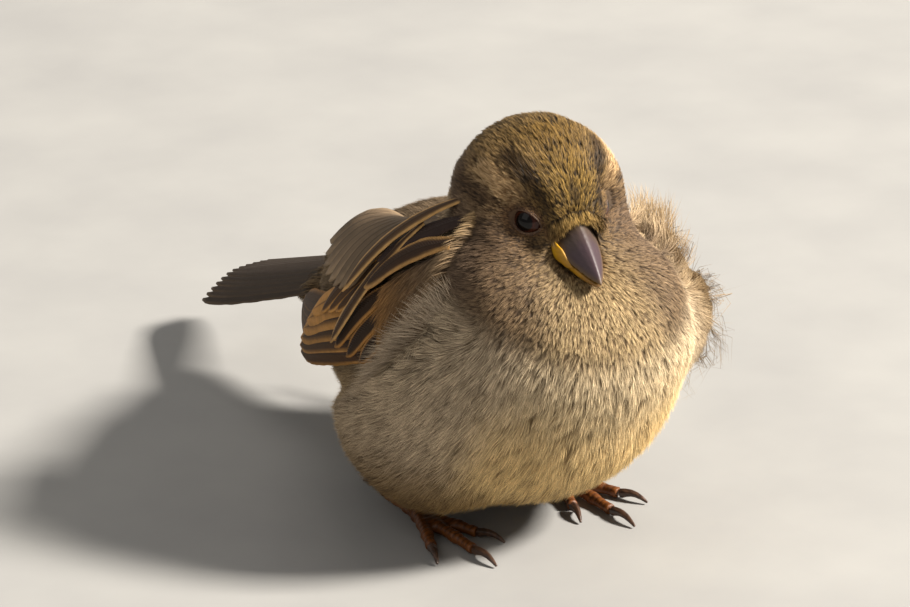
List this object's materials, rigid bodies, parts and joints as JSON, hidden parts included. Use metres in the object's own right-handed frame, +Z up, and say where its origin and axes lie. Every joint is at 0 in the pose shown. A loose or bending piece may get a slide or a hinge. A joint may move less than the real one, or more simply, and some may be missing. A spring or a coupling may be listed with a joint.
{
  "type": "house sparrow",
  "caption": "Young house sparrow as a still, life-size model, fluffed and crouching on its feet with the bill low, folded wings and a closed tail.",
  "frame": {"origin": "middle of the bird's bounding box at floor level, under its feet's soles", "axes": "+Z up; the bird faces -Y and its tail points to +Y; +X is its left side"},
  "size_m": [0.05, 0.1046, 0.0594],
  "materials": {
    "plumage": "soft matt plumage, grey-brown and buff, with fine dark streaks",
    "wing_feathers": "dark brown vanes with ochre-buff edges, slightly silky",
    "tail_feathers": "dark grey-brown vanes with thin paler edges",
    "eye": "very dark brown, wet gloss",
    "bill": "purple-grey horn with a soft sheen",
    "bill_yellow": "yellow horn and gape skin, satin",
    "leg": "orange-brown scaly skin, satin",
    "claw": "dark horn, satin"
  },
  "bodies": {
    "root": {"head": "plumage", "neck": "plumage", "trunk": "plumage", "eye_left": "eye", "eye_right": "eye", "bill_upper": "bill", "bill_lower": "bill_yellow", "wing_left_coverts": "wing_feathers", "wing_left_secondaries": "wing_feathers", "wing_left_primaries": "wing_feathers", "wing_right_coverts": "wing_feathers", "wing_right_secondaries": "wing_feathers", "wing_right_primaries": "wing_feathers", "tail": "tail_feathers", "shank_left": "leg", "shank_right": "leg", "foot_left": "leg", "foot_right": "leg", "claw_left_inner": "claw", "claw_left_middle": "claw", "claw_left_outer": "claw", "claw_left_hind": "claw", "claw_right_inner": "claw", "claw_right_middle": "claw", "claw_right_outer": "claw", "claw_right_hind": "claw"}
  },
  "joints": []
}
